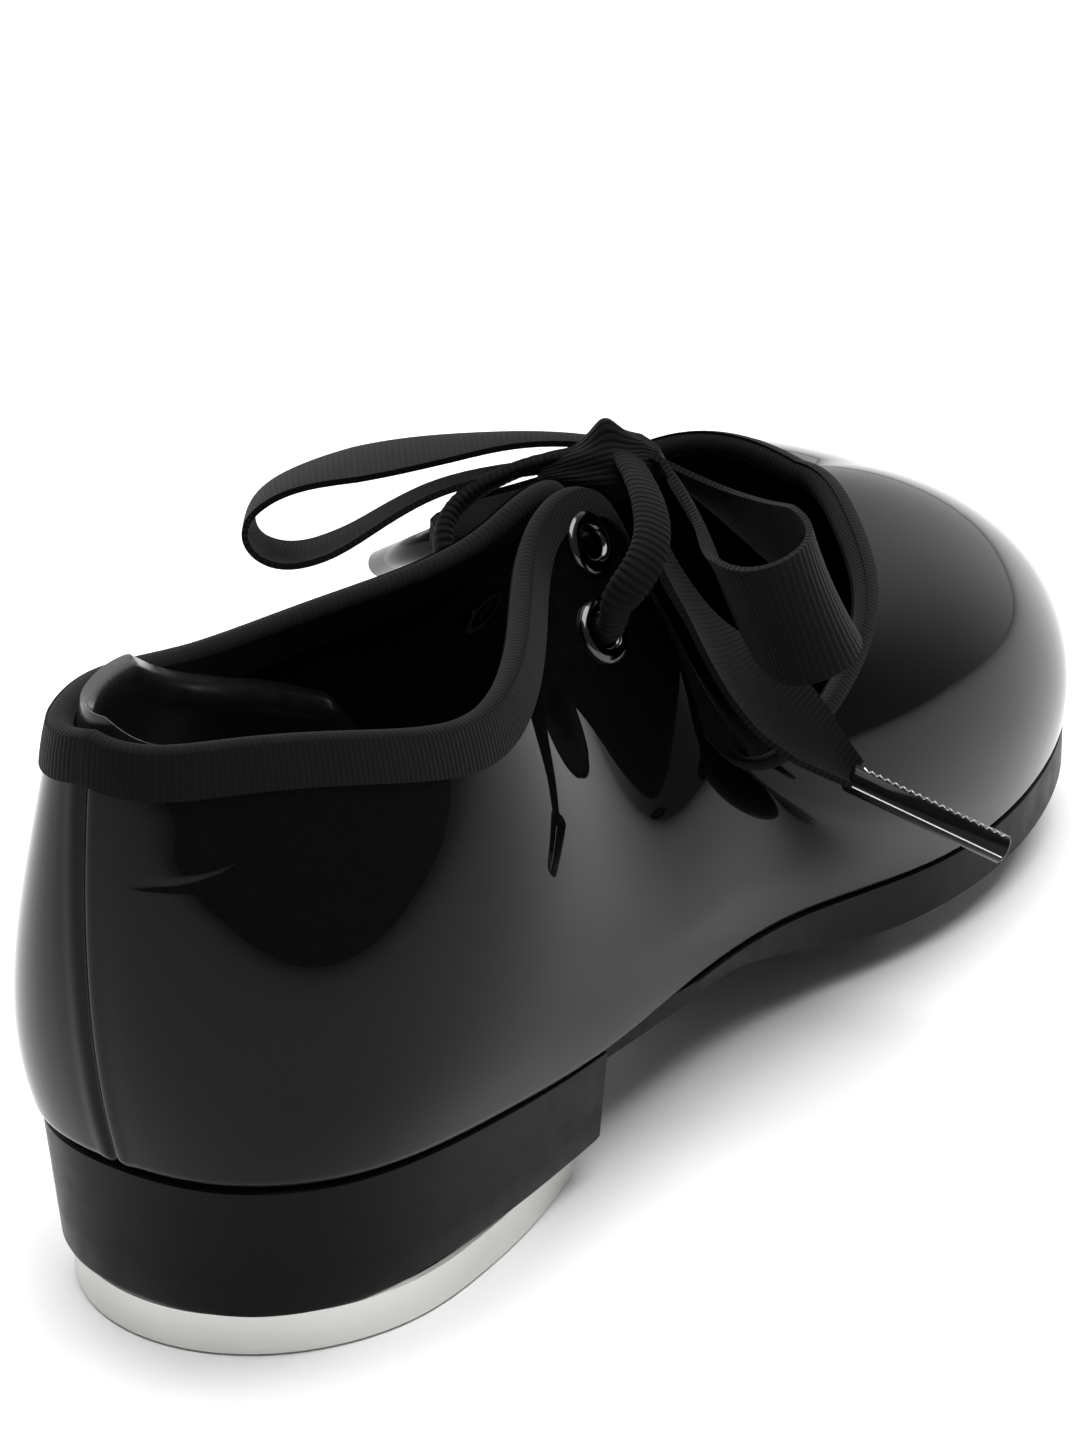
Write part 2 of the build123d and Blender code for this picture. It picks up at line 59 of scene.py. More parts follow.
back = Vector((math.sin(TURN) * math.cos(PITCH), -math.cos(TURN) * math.cos(PITCH), math.sin(PITCH)))
right = Vector((math.cos(TURN), math.sin(TURN), 0))
above = back.cross(right)
camera = bpy.data.objects.new("camera", bpy.data.cameras.new("camera"))
scene.collection.objects.link(camera)
camera.data.lens = LENS
camera.data.sensor_width = 36
camera.data.clip_start = 0.01
rotation = Matrix((right * math.cos(ROLL) + above * math.sin(ROLL),
                   above * math.cos(ROLL) - right * math.sin(ROLL), back)).transposed()
camera.matrix_world = Matrix.Translation(AIM + back * DISTANCE) @ rotation.to_4x4()
scene.camera = camera

# ---- the shape of the upper, as in the CAD model ----
BEND_START, BEND_LENGTH, BEND = 20.0, 157.0, -11.0
FEATHER = np.array([
    (0, -28.6, 23.4), (9.5, -28.6, 23.4), (19.8, -22.5, 23), (25.3, -9, 22), (25.8, 8, 20.6),
    (25, 22, 18.8), (24, 35, 17.9), (22.8, 46, 17.6), (21.9, 57, 17.3), (21.4, 68, 16.6),
    (21.6, 80, 15.5), (24.3, 93, 14), (29, 109, 13.1), (30.8, 126, 13.5), (29.5, 145, 14.8),
    (24, 163, 17), (12, 178, 19.2), (0, 178, 19.3)], float)
RISE = np.array([
    (0, -4.5, 15), (2, -4.5, 15), (4, -3, 15), (5.2, -1.5, 16), (5, 0, 16), (5, 0, 16),
    (5.5, 0, 16), (6.5, 0, 17), (7.5, 0, 18), (7.5, -1, 17), (7, -2, 13), (6, -4, 12),
    (5.5, -4, 13), (5, -3, 15), (4.5, -2, 17), (4, 0, 17), (2.5, 3, 17), (0, 3, 17)], float)
ROLL_IN = np.array([
    (0, -3.5, -17), (1.5, -3.5, -17), (3.5, -3, -17), (4.5, -1, -17), (5, 0, -17), (7, 0, -16),
    (8.5, 0, -16), (8, 1, -17), (8, 1, -18), (8, 1, -17), (8, 3, -14), (4, 5, -9), (5, 6, -10),
    (6, 10, -10), (9, 18, -9), (10, 27, -9), (4, 33, -7.5), (0, 33, -7.5)], float)
COLLAR_AND_TAB = [
    (0, -28.5, 75.2), (6.5, -29, 74.0), (12.8, -18.5, 74.2), (19, -4, 71), (21.5, 12, 66.5),
    (16, 26.5, 68.5), (8, 38.5, 71), (3.4, 46, 74), (2, 52.5, 78), (2.2, 65, 77)]
TOP_RIGHT = np.array(COLLAR_AND_TAB + [
    (9.5, 64.5, 55), (24, 60.5, 41), (26.5, 76, 45), (24.5, 91, 50.5), (19.5, 101.5, 54.5),
    (11, 110, 59), (4, 116.5, 61.5), (0, 116.5, 61.5)], float)
TOP_LEFT = np.array(COLLAR_AND_TAB + [
    (9.5, 64.5, 55), (22.5, 64, 41), (27, 80, 48), (27, 95, 56), (24, 107.5, 61.5),
    (15, 116, 64.5), (6, 117.5, 63), (0, 116.5, 61.5)], float)
EYELETS = [(0.480, 0.885), (0.445, 0.745)]     # (turn, height) on the wall

BINDING_WIDTH = 5.6    # round the collar
BINDING_AT_TAB = 4.6
BINDING_AT_THROAT = 2.2
BINDING_AT_TOE = 2.4
UNDER_BINDING = 1.2    # the leather and the lining end this far below the rim

# depths inward from the patent surface
UPPER_INNER = 1.0
LINING = (1.1, 1.9)
GRIP_OUTER = 2.7       # the pad's back
GRIP_THIN = 0.15       # the pad's thickness at its edges, and how much its middle adds
GRIP_SWELL = 2.2


def unit(vectors):
    """The same directions, at length 1."""
    return vectors / np.linalg.norm(vectors, axis=-1, keepdims=True)


def hump(distance, width):
    """1 in the middle, fading out over about `width`."""
    return np.exp(-(distance / width) ** 2)


def smooth_step(value, start, end):
    """Rises from 0 at `start` to 1 at `end`, and is level at both."""
    share = np.clip((np.asarray(value, float) - start) / (end - start), 0, 1)
    return share * share * (3 - 2 * share)


def centre_x(y):
    """The shoe's curved centre line."""
    return BEND * (np.clip(np.asarray(y, float) - BEND_START, 0, None) / BEND_LENGTH) ** 2


def spline_weights(count, at):
    """Weights of `count` control points of a clamped, evenly knotted cubic spline."""
    knots = np.concatenate([np.zeros(3), np.linspace(0, 1, count - 2), np.ones(3)])
    at = np.clip(np.asarray(at, float), 0, 1 - 1e-9)
    weights = [((knots[i] <= at) & (at < knots[i + 1])).astype(float) for i in range(count + 3)]
    for degree in (1, 2, 3):
        raised = []
        for i in range(count + 3 - degree):
            total = np.zeros_like(at)
            if knots[i + degree] > knots[i]:
                total = total + (at - knots[i]) / (knots[i + degree] - knots[i]) * weights[i]
            if knots[i + degree + 1] > knots[i + 1]:
                span = knots[i + degree + 1] - knots[i + 1]
                total = total + (knots[i + degree + 1] - at) / span * weights[i + 1]
            raised.append(total)
        weights = raised
    return np.array(weights)


def spline(points, at):
    """Points along a clamped cubic spline."""
    points = np.array(points, float)
    return spline_weights(len(points), at).T @ points


def wall(turn, height):
    """A point of the patent surface. turn is 0 at the heel's back, 1 at the toe, going round
    the right side, and 2 at the heel again. height is 0 at the sole and 1 at the top edge."""
    turn, height = np.broadcast_arrays(np.asarray(turn, float), np.asarray(height, float))
    around = np.mod(turn, 2)
    right_side = around < 1
    station = np.where(right_side, around, 2 - around)
    weights = spline_weights(len(FEATHER), station)
    bands = [(1 - height) ** 3, 3 * height * (1 - height) ** 2,
             3 * height ** 2 * (1 - height), height ** 3]
    point = np.zeros(turn.shape + (3,))
    for top, here in ((TOP_RIGHT, right_side), (TOP_LEFT, ~right_side)):
        rows = [FEATHER, FEATHER + RISE, top + ROLL_IN, top]
        side = sum(np.einsum("k...,kc->...c", weights, row) * band[..., None]
                   for row, band in zip(rows, bands))
        point = np.where(here[..., None], side, point)
    sign = np.where(right_side, 1, -1)
    point[..., 0] = centre_x(point[..., 1]) + sign * point[..., 0]
    return point


def outward(turn, height):
    """The wall's unit normal, pointing out of the shoe."""
    step = 1e-4
    along = wall(turn + step, height) - wall(turn - step, height)
    up = wall(turn, height + step) - wall(turn, height - step)
    return unit(np.cross(along, up))


def below_rim(distance):
    """The height that lies distance(station) millimetres below the rim."""
    stations = np.linspace(0, 1, 81)
    heights = np.linspace(0, 1, 25)
    lengths = []
    for side in (1, -1):
        points = wall(side * stations[:, None], heights[None, :])
        lengths.append(np.linalg.norm(np.diff(points, axis=1), axis=2).sum(axis=1))

    def height(turn):
        around = np.mod(turn, 2)
        station = np.where(around < 1, around, 2 - around)
        length = np.where(around < 1, np.interp(station, stations, lengths[0]),
                          np.interp(station, stations, lengths[1]))
        return 1 - distance(station) / length
    return height


def binding_width(station):
    """How far the binding reaches down from the rim."""
    return np.interp(station, [0.34, 0.43, 0.54, 0.60, 0.70, 0.82],
                     [BINDING_WIDTH, BINDING_AT_TAB, BINDING_AT_TAB, BINDING_AT_THROAT,
                      BINDING_AT_THROAT, BINDING_AT_TOE])


# ---- mesh helpers ----
def new_piece(name, points, faces, cloth=None, sharp=60):
    """A smooth mesh object. `cloth` holds each point's place along and across the cloth."""
    mesh = bpy.data.meshes.new(name)
    mesh.from_pydata((np.asarray(points, float) * MM).tolist(), [], faces)
    if cloth is not None:
        layer = mesh.attributes.new("cloth", "FLOAT_VECTOR", "POINT")
        layer.data.foreach_set("vector", np.asarray(cloth, np.float32).ravel())
    mesh.update()
    mesh.shade_smooth()
    mesh.set_sharp_from_angle(angle=math.radians(sharp))
    piece = bpy.data.objects.new(name, mesh)
    scene.collection.objects.link(piece)
    return piece


def strip_faces(rows, columns, ring=False, start=0):
    """Faces of a grid stored row by row; a ring joins its last row to its first."""
    faces = []
    for i in range(rows if ring else rows - 1):
        here, after = start + i * columns, start + ((i + 1) % rows) * columns
        for j in range(columns - 1):
            faces.append((here + j, after + j, after + j + 1, here + j + 1))
    return faces


def shell_piece(name, outer, inner, ring=False, cloth=None):
    """A closed shell between an outer and an inner grid."""
    rows, columns = outer.shape[:2]
    count = rows * columns
    faces = strip_faces(rows, columns, ring)
    faces += [face[::-1] for face in strip_faces(rows, columns, ring, count)]
    for i in range(rows if ring else rows - 1):
        a, b = i * columns, ((i + 1) % rows) * columns
        faces.append((b, a, a + count, b + count))
        last = columns - 1
        faces.append((a + last, b + last, b + last + count, a + last + count))
    if not ring:
        for j in range(columns - 1):
            faces.append((j, j + 1, j + 1 + count, j + count))
            a = (rows - 1) * columns + j
            faces.append((a + 1, a, a + count, a + 1 + count))
    points = np.concatenate([outer.reshape(-1, 3), inner.reshape(-1, 3)])
    if cloth is not None:
        cloth = np.concatenate([cloth.reshape(-1, 3)] * 2)
    return new_piece(name, points, faces, cloth)


def tube_piece(name, rings, cloth=None, sharp=60, close_ends=True):
    """A closed surface through a list of rings of points."""
    rings = np.asarray(rings)
    rows, columns = rings.shape[:2]
    faces = []
    for i in range(rows - 1):
        here, after = i * columns, (i + 1) * columns
        for j in range(columns):
            k = (j + 1) % columns
            faces.append((here + j, here + k, after + k, after + j))
    if close_ends:
        faces.append(tuple(range(columns))[::-1])
        faces.append(tuple(range((rows - 1) * columns, rows * columns)))
    return new_piece(name, rings.reshape(-1, 3), faces, cloth, sharp)


def path_lengths(points):
    """Distance along rows of points, from the first."""
    steps = np.linalg.norm(np.diff(points, axis=0), axis=-1)
    return np.concatenate([np.zeros_like(steps[:1]), np.cumsum(steps, axis=0)])


def cloth_grid(grid, row):
    """Each point's place along the cloth, measured on one row of the grid, and across it."""
    along = path_lengths(grid[:, row])[:, None] * np.ones(grid.shape[1])
    across = path_lengths(np.swapaxes(grid, 0, 1)).T
    return np.stack([along, across, np.zeros_like(along)], -1)


def bends(piece):
    """Bakes the piece's placement into its mesh."""
    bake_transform(piece)


# ---- materials ----
class Nodes:
    """A short way to wire up a material."""

    def __init__(self, name):
        self.material = bpy.data.materials.new(name)
        self.material.use_nodes = True
        self.tree = self.material.node_tree
        self.shader = self.tree.nodes["Principled BSDF"]

    def add(self, kind, **settings):
        node = self.tree.nodes.new(kind)
        for key, value in settings.items():
            setattr(node, key, value)
        return node

    def link(self, source, target):
        self.tree.links.new(source, target)

    def maths(self, operation, first, second=None):
        node = self.add("ShaderNodeMath", operation=operation)
        for socket, value in zip(node.inputs, (first, second)):
            if value is None:
                continue
            if isinstance(value, (int, float)):
                socket.default_value = value
            else:
                self.link(value, socket)
        return node.outputs[0]

    def noise(self, scale, detail, source=None):
        node = self.add("ShaderNodeTexNoise")
        node.inputs["Scale"].default_value = scale
        node.inputs["Detail"].default_value = detail
        self.link(source or self.add("ShaderNodeTexCoord").outputs["Object"], node.inputs["Vector"])
        return node.outputs["Fac"]

    def ramp(self, source, stops):
        """Colour for a value; the stops are (place, colour), where one number means grey."""
        node = self.add("ShaderNodeValToRGB")
        elements = node.color_ramp.elements
        while len(elements) < len(stops):
            elements.new(0.5)
        for element, (place, colour) in zip(elements, stops):
            element.position = place
            element.color = (*np.broadcast_to(colour, 3), 1)
        self.link(source, node.inputs["Fac"])
        return node.outputs["Color"]

    def bump(self, height, strength, distance):
        node = self.add("ShaderNodeBump")
        node.inputs["Strength"].default_value = strength
        node.inputs["Distance"].default_value = distance
        self.link(height, node.inputs["Height"])
        self.link(node.outputs["Normal"], self.shader.inputs["Normal"])

    def set(self, **values):
        names = {"colour": "Base Color", "rough": "Roughness", "metal": "Metallic",
                 "coat": "Coat Weight", "coat_rough": "Coat Roughness", "coat_ior": "Coat IOR",
                 "sheen": "Sheen Weight", "sheen_rough": "Sheen Roughness",
                 "specular": "Specular IOR Level"}
        for key, value in values.items():
            socket = self.shader.inputs[names[key]]
            socket.default_value = (*value, 1) if key == "colour" else value
        return self

    def colour(self, source, stops):
        self.link(self.ramp(source, stops), self.shader.inputs["Base Color"])

    def roughness(self, source, stops):
        self.link(self.ramp(source, stops), self.shader.inputs["Roughness"])


def patent():
    """Black leather under a clear glossy coat, very slightly rippled."""
    m = Nodes("patent leather").set(rough=0.3, specular=0.0, coat=1.0, coat_rough=0.015, coat_ior=1.23)
    m.colour(m.noise(900, 3), [(0.3, 0.0015), (0.8, 0.0025)])
    m.bump(m.noise(55, 2), 0.12, 0.0006)
    return m.material


def cloth_axes(m):
    """Each point's place along and across the cloth, in millimetres."""
    attribute = m.add("ShaderNodeAttribute", attribute_name="cloth")
    split = m.add("ShaderNodeSeparateXYZ")
    m.link(attribute.outputs["Vector"], split.inputs[0])
    return split.outputs[0], split.outputs[1]


RIB_PITCH = 0.75       # mm between the grosgrain's ribs
THREAD_PITCH = 0.34    # mm between the threads that cross them


def wave(m, place, pitch):
    """A rounded rib for every `pitch` millimetres."""
    turns = m.maths("MULTIPLY", place, math.pi / pitch)
    return m.maths("ABSOLUTE", m.maths("SINE", turns))


def grosgrain(name, pitch=RIB_PITCH, dark=0.0005, light=0.0024, relief=0.6):
    """Ribbed cloth with ribs across it; `dark` and `light` are the colours between and on them: painted
    shade in the grooves and painted light on the ribs.
    """
    m = Nodes(name).set(rough=0.8, specular=0.1, sheen=0.03, sheen_rough=0.5)
    along, across = cloth_axes(m)
    ribs = wave(m, along, pitch)
    threads = wave(m, across, THREAD_PITCH)
    weave_relief_and_shade = m.maths("ADD", m.maths("MULTIPLY", ribs, 0.8), m.maths("MULTIPLY", threads, 0.2))
    fuzz = m.noise(1800, 3)
    weave_relief_and_shade = m.maths("ADD", weave_relief_and_shade, m.maths("MULTIPLY", fuzz, 0.15))
    # the colour follows the ribs: painted shade between them and painted light on them, with random fuzz
    m.colour(weave_relief_and_shade, [(0.2, dark), (1.0, (light, light, light * 1.03))])
    m.bump(weave_relief_and_shade, relief, 0.00025)
    return m.material


WEAVE_PITCH = 0.8      # mm between the lining's threads


def plain_weave():
    m = Nodes("lining fabric").set(rough=0.9, specular=0.08, sheen=0.02)
    along, across = cloth_axes(m)
    weave_relief_and_shade = m.maths("MULTIPLY", wave(m, along, WEAVE_PITCH), wave(m, across, WEAVE_PITCH))
    fuzz = m.noise(1200, 3)
    weave_relief_and_shade = m.maths("ADD", weave_relief_and_shade, m.maths("MULTIPLY", fuzz, 0.3))
    # darker between the threads: painted shade in the weave's hollows, with random fuzz
    m.colour(weave_relief_and_shade, [(0.1, 0.001), (1.0, 0.006)])
    m.bump(weave_relief_and_shade, 0.7, 0.0002)
    return m.material


def coated_lining():
    m = Nodes("coated heel lining").set(rough=0.22, specular=0.5)
    grain = m.add("ShaderNodeTexVoronoi", feature="DISTANCE_TO_EDGE")
    grain.inputs["Scale"].default_value = 1100
    m.link(m.add("ShaderNodeTexCoord").outputs["Object"], grain.inputs["Vector"])
    m.colour(m.noise(250, 4), [(0.2, 0.006), (0.9, (0.014, 0.014, 0.0145))])
    m.bump(grain.outputs["Distance"], 0.15, 0.0001)
    return m.material


def moulded(name, rough, light):
    m = Nodes(name).set(specular=0.08)
    m.colour(m.noise(60, 5), [(0.25, light * 0.6), (0.8, light)])
    m.roughness(m.noise(320, 4), [(0.2, rough - 0.08), (0.9, rough + 0.12)])
    m.bump(m.noise(1500, 3), 0.25, 0.00006)
    return m.material


def tap_metal():
    """Cast metal, finely brushed round its edge."""
    m = Nodes("tap aluminium").set(metal=1.0)
    stretch = m.add("ShaderNodeMapping")
    stretch.inputs["Scale"].default_value = (1.0, 1.0, 14.0)
    m.link(m.add("ShaderNodeTexCoord").outputs["Object"], stretch.inputs["Vector"])
    lines = m.noise(600, 4, stretch.outputs["Vector"])
    m.colour(m.noise(45, 3), [(0.25, (0.60, 0.60, 0.58)), (0.8, (0.74, 0.74, 0.72))])
    m.roughness(lines, [(0.2, 0.30), (0.9, 0.46)])
    m.bump(lines, 0.25, 0.00005)
    return m.material


def plain_metal(name, light, rough):
    m = Nodes(name).set(metal=1.0)
    haze = m.noise(500, 3)
    m.colour(haze, [(0.2, light * 0.85), (0.9, light * 1.1)])
    m.roughness(haze, [(0.2, rough * 0.8), (0.9, rough * 1.4)])
    return m.material


def fibreboard(name, colour):
    m = Nodes(name).set(rough=0.85)
    fleck = m.noise(800, 5)
    dark = tuple(c * 0.7 for c in colour)
    m.colour(fleck, [(0.3, dark), (0.75, colour)])
    m.bump(fleck, 0.3, 0.0001)
    return m.material


def aglet_sleeve():
    m = Nodes("aglet sleeve").set(rough=0.16, specular=0.1)
    m.colour(m.noise(400, 2), [(0.2, 0.002), (0.9, 0.006)])
    return m.material


STRAND_RIB = 0.9       # mm between the ribs where the ribbon is gathered

PATENT = patent()
GROSGRAIN = grosgrain("grosgrain ribbon")
STRAND_CLOTH = grosgrain("gathered grosgrain", STRAND_RIB, light=0.0026)
BINDING = grosgrain("grosgrain binding", 0.7, dark=0.0008, relief=0.3)
WEAVE = plain_weave()
COATED = coated_lining()
SOLE_BLACK = moulded("moulded sole", 0.42, 0.004)
HEEL_BLACK = moulded("moulded heel", 0.36, 0.003)
TAP = tap_metal()
SCREW = plain_metal("zinc plated screw", 0.55, 0.28)
NICKEL = plain_metal("dark nickel", 0.07, 0.14)
BOARD = fibreboard("fibreboard", (0.36, 0.29, 0.21))
STAY = fibreboard("stiffened cloth", (0.30, 0.30, 0.29))
SPRING = plain_metal("spring steel", 0.28, 0.3)
AGLET = aglet_sleeve()
# bright metal for the aglet's crimp and edge lines: painted highlights
GLINT_METAL = plain_metal("crimp and edge glint", 0.8, 0.2)


def finish(piece, material):
    """Give a piece its material and slot."""
    piece.data.materials.append(material)


# ---- CAD pieces that keep their shape ----
def dress_cad():
    """Materials for the CAD pieces that are shown as they are."""
    looks = {"heel_tap": TAP, "toe_tap": TAP, "heel_tap_screws": SCREW,
             "toe_tap_screws": SCREW, "toe_tap_board": BOARD, "heel_nails": SCREW, "shank": SPRING,
             "heel_counter": STAY, "toe_puff": STAY,
             "eyelet_washers_right": NICKEL, "eyelet_washers_left": NICKEL}
    for node, material in looks.items():
        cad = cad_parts[node]
        cad.data.materials.clear()
        cad.data.materials.append(material)


# ---- upper ----
SEAM_END, DENT_END = 0.012, 0.1      # the mesh is finer up to these turns


def shoe_turns(count, fine, dented):
    """Stations round the shoe, closer together beside the heel seam and across the dent."""
    near = np.linspace(0, SEAM_END, fine, endpoint=False)
    quarter = np.linspace(SEAM_END, DENT_END, dented, endpoint=False)
    rest = np.linspace(DENT_END, 2 - SEAM_END, count)
    return np.concatenate([near, quarter, rest, 2 - near[:0:-1]])


# the dent's fold and middle, as (turn, height)
DENT_EDGE = [(0.015, 0.80), (0.014, 0.71), (0.026, 0.72), (0.038, 0.72), (0.048, 0.73), (0.058, 0.74),
             (0.066, 0.765), (0.076, 0.80), (0.076, 0.83), (0.072, 0.87), (0.062, 0.905)]
DENT_MIDDLE = (0.045, 0.80)
DENT_SIDE, DENT_FOOT = 0.11, 0.6     # it reaches no further round, and no lower
DENT_DEPTH = 0.07
DENT_SPREAD = (11.0, 5.5)            # along the wall and up it
FOLD_WIDTH = 0.4
WALL_SCALE = np.array([330.0, 60.0])  # millimetres for one unit of turn and of height


def dent(turn, height):
    """A shallow hollow in the leather with a sharp fold along its edge."""
    edge = spline(DENT_EDGE, np.linspace(0, 1, 80)) * WALL_SCALE
    near = (turn < DENT_SIDE) & (height > DENT_FOOT)
    here = np.stack([turn[near], height[near]], -1) * WALL_SCALE
    gaps = np.linalg.norm(here[:, None] - edge, axis=-1)
    along = gaps.argmin(axis=1) / (len(edge) - 1)
    fold = np.interp(along, [0, 0.1, 0.6, 0.75, 0.85, 1], [0.0, 0.07, 0.04, 0.03, 0.10, 0.0])
    away = np.linalg.norm((here - DENT_MIDDLE * WALL_SCALE) / DENT_SPREAD, axis=-1)
    lift = np.zeros_like(turn)
    lift[near] = -fold * hump(gaps.min(axis=1), FOLD_WIDTH) - DENT_DEPTH * hump(away, 1)
    return lift


SEAM_DEPTH, SEAM_WIDTH = 0.5, 0.5
RIDGE_RISE, RIDGE_PLACE, RIDGE_WIDTH = 0.12, 1.4, 0.9
SEAM_REACH, SEAM_FRONT = 6, -15      # the seam's shape ends this far beside it, and at this y
LIP_TUCK, LIP_HEIGHT = 0.4, 0.03     # how far the lower edge tucks in, below which height


def under_binding(turns):
    """The height at which the leather and the lining end, hidden in the binding."""
    return below_rim(lambda station: UNDER_BINDING)(turns)[:, None]


def upper():
    """The patent leather, one skin all round the shoe."""
    turns = shoe_turns(400, 24, 110)
    shares = np.concatenate([np.linspace(0, 0.06, 8, endpoint=False),
                             np.linspace(0.06, 0.66, 28, endpoint=False), np.linspace(0.66, 1, 52)])
    turn = turns[:, None] * np.ones(len(shares))
    height = under_binding(turns) * shares
    surface, normal = wall(turn, height), outward(turn, height)
    # the heel seam: a groove between two soft ridges
    beside = np.abs(surface[..., 0])
    at_heel = (surface[..., 1] < SEAM_FRONT) & (beside < SEAM_REACH)
    groove = SEAM_DEPTH * hump(beside, SEAM_WIDTH)
    ridges = RIDGE_RISE * hump(beside - RIDGE_PLACE, RIDGE_WIDTH)
    lift = np.where(at_heel, ridges - groove, 0)
    # a dent pressed into the near quarter beside the seam
    lift += dent(turn, height)
    # the lower edge tucks in above the sole
    lift -= LIP_TUCK * np.clip(1 - height / LIP_HEIGHT, 0, 1) ** 2
    outer = surface + normal * lift[..., None]
    inner = surface - normal * UPPER_INNER
    piece = shell_piece("upper_skin", outer, inner, ring=True)
    cut_eyelet_holes(piece)
    finish(piece, PATENT)
    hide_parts("upper")
    bends(piece)


def eyelet_axes(side):
    """Centre and outward direction of each eyelet on one side."""
    return [(wall(side * turn, height), outward(side * turn, height)) for turn, height in EYELETS]


def square_to(normal):
    """Two directions square to a normal and to each other."""
    first = unit(np.cross(normal, (0, 0, 1.0)))
    return first, np.cross(normal, first)


def lathe_rings(centre, normal, profile, count=48):
    """Rings of a turned shape; the profile is (radius, height along the normal)."""
    first, second = square_to(normal)
    angles = np.linspace(0, 2 * math.pi, count, endpoint=False)
    circle = np.cos(angles)[:, None] * first + np.sin(angles)[:, None] * second
    return [centre + radius * circle + rise * normal for radius, rise in profile]


HOLE_RADIUS, HOLE_SIDES = 2.3, 32


def cut_eyelet_holes(piece):
    """Cut a round hole through the piece at every eyelet."""
    points, faces = [], []
    for side in (1, -1):
        for centre, normal in eyelet_axes(side):
            ends = [(HOLE_RADIUS, 5), (HOLE_RADIUS, -7)]
            first = len(points)
            points += list(np.reshape(lathe_rings(centre, normal, ends, HOLE_SIDES), (-1, 3)))
            second, last = first + HOLE_SIDES, first + 2 * HOLE_SIDES
            for j in range(HOLE_SIDES):
                k = (j + 1) % HOLE_SIDES
                faces.append((first + j, second + j, second + k, first + k))
            faces.append(tuple(range(first, second)))
            faces.append(tuple(range(second, last))[::-1])
    cutter = new_piece("cutter", np.array(points), faces)
    modifier = piece.modifiers.new("holes", "BOOLEAN")
    modifier.object = cutter
    modifier.solver = "EXACT"
    graph = bpy.context.evaluated_depsgraph_get()
    cut = bpy.data.meshes.new_from_object(piece.evaluated_get(graph))
    piece.modifiers.clear()
    piece.data = cut
    bpy.data.objects.remove(cutter)


def lining():
    """The woven lining, a thin skin inside the leather."""
    turns = shoe_turns(300, 6, 10)
    heights = np.linspace(0.02, 1, 40)
    turn = turns[:, None] * np.ones(len(heights))
    height = under_binding(turns) * heights
    surface, normal = wall(turn, height), outward(turn, height)
    piece = shell_piece("lining_cloth", surface - LINING[0] * normal, surface - LINING[1] * normal,
                        ring=True, cloth=cloth_grid(surface, row=25))
    cut_eyelet_holes(piece)
    finish(piece, WEAVE)
    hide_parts("lining")
    bends(piece)


GRIP_END, GRIP_FOOT = 0.42, 0.06     # the turn and the height at which the pad ends
GRIP_WEAR = 0.055                    # how much lower it is on the outer side


def heel_grip():
    """The glossy padded lining of the heel, with rounded edges."""
    turns = np.linspace(-GRIP_END, GRIP_END, 161)
    rows = np.linspace(0, 1, 49)
    top = np.interp(np.abs(turns), [0.0, 0.05, 0.12, 0.15, 0.20, 0.24, 0.27, 0.30, 0.33, GRIP_END],
                    [1.04, 1.045, 1.045, 1.0, 0.94, 0.87, 0.80, 0.73, 0.62, 0.30])
    # worn down on the outer side, where it stays below the rim
    top -= GRIP_WEAR * smooth_step(turns, -0.03, 0.05)
    turn = turns[:, None] * np.ones(len(rows))
    height = GRIP_FOOT + (top[:, None] - GRIP_FOOT) * rows[None, :]
    surface, normal = wall(turn, height), outward(turn, height)
    # it swells from its top edge, over a twelfth of its height, and from its two ends
    from_top = np.minimum(1, (1 - rows) * 12)
    from_end = np.minimum(1, (GRIP_END - np.abs(turns)) * 30)
    edge = from_top[None, :] * from_end[:, None]
    swell = GRIP_SWELL * np.sqrt(np.clip(1 - (1 - edge) ** 2, 0, 1))
    outer = surface - GRIP_OUTER * normal
    inner = surface - (GRIP_OUTER + GRIP_THIN + swell)[..., None] * normal
    piece = shell_piece("heel_grip_pad", outer, inner)
    finish(piece, COATED)
    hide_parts("heel_grip")
    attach(piece, "rearfoot")


STRIP_THICK, STRIP_PUFF = 0.5, 0.12  # the strip swells by the puff halfway up the outside
STRIP_GAP = 0.06                     # clear of the patent and of the lining
FOLD_DROP, FOLD_RISE = 1.3, 0.9      # the fold's centre below the rim, and its rise from there


def binding():
    """The grosgrain strip folded over the whole top edge."""
    turns = np.linspace(0, 2, 721)[:-1]
    low = below_rim(binding_width)(turns)
    outside, inside = -STRIP_GAP, LINING[1] + STRIP_GAP
    middle, half = (outside + inside) / 2, (inside - outside) / 2
    rim, rim_normal = wall(turns, 1.0), outward(turns, 1.0)
    rising = unit(rim - wall(turns, 1 - 1e-4))

    def section(thick, puff):
        rows = []
        for share in np.linspace(0, 1, 9)[:-1]:
            height = low + (1 - low) * share
            depth = outside - thick - puff * math.sin(math.pi * share)
            rows.append(wall(turns, height) - depth * outward(turns, height))
        for angle in np.radians(np.linspace(165, 15, 9)):
            across = middle + (half + thick) * math.cos(angle)
            rise = (FOLD_RISE + thick) * math.sin(angle) - FOLD_DROP
            rows.append(rim - across * rim_normal + rise * rising)
        for share in np.linspace(1, 0, 9)[1:]:
            height = low + (1 - low) * share
            rows.append(wall(turns, height) - (inside + thick) * outward(turns, height))
        return np.stack(rows, axis=1)
    outer, inner = section(STRIP_THICK, STRIP_PUFF), section(0.0, 0.0)
    # the strip is cut along its length, so its ribs run across it
    cloth = cloth_grid(outer, row=4)
    piece = shell_piece("topline_binding_strip", outer, inner, ring=True, cloth=cloth)
    finish(piece, BINDING)
    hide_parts("topline_binding")
    bends(piece)


# ---- sole ----
HEEL_TUCK = 2.5        # how far the sole lies inside the heel's rim
HEEL_FRONT = 32.5
WAIST_TAPER = 22.0     # the sole's edge widens over this length in front of the heel
TAP_THICK, TOE_BOARD = 5.6, 0.75
TREAD_START, TOE_END, TOE_SPRING = 111.0, 176.7, 5.9

